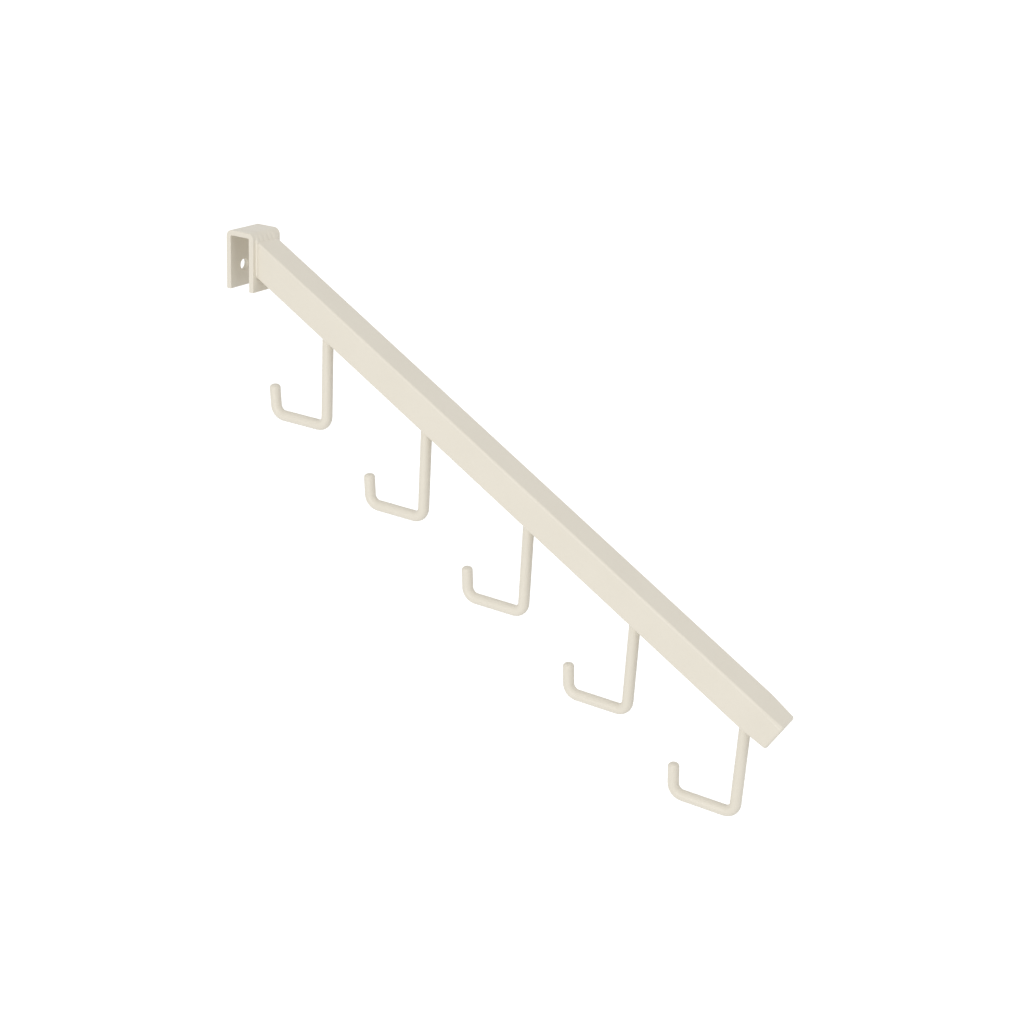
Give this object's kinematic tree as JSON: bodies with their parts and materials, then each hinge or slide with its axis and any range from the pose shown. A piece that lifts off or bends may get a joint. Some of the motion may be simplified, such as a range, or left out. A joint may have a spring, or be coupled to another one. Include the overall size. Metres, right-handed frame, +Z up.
{
  "type": "sloping display arm with hooks",
  "caption": "Sloping square-tube display arm with a folded saddle that drops over a rectangular hang rail, and a row of bent-rod hooks welded under the tube.",
  "frame": {"origin": "middle of the saddle's inner top face, where the top edge of the rail bears", "axes": "+X out from the rail along the arm's horizontal run, +Y along the rail, +Z up"},
  "size_m": [0.3724, 0.0254, 0.2777],
  "materials": {
    "cream_powder_coat": "satin cream powder coat with a fine orange-peel texture"
  },
  "bodies": {
    "root": {"saddle_bracket": "cream_powder_coat", "arm_tube": "cream_powder_coat", "end_cap": "cream_powder_coat", "arm_weld": "cream_powder_coat", "hook_1": "cream_powder_coat", "hook_2": "cream_powder_coat", "hook_3": "cream_powder_coat", "hook_4": "cream_powder_coat", "hook_5": "cream_powder_coat", "hook_weld_1": "cream_powder_coat", "hook_weld_2": "cream_powder_coat", "hook_weld_3": "cream_powder_coat", "hook_weld_4": "cream_powder_coat", "hook_weld_5": "cream_powder_coat"}
  },
  "joints": []
}
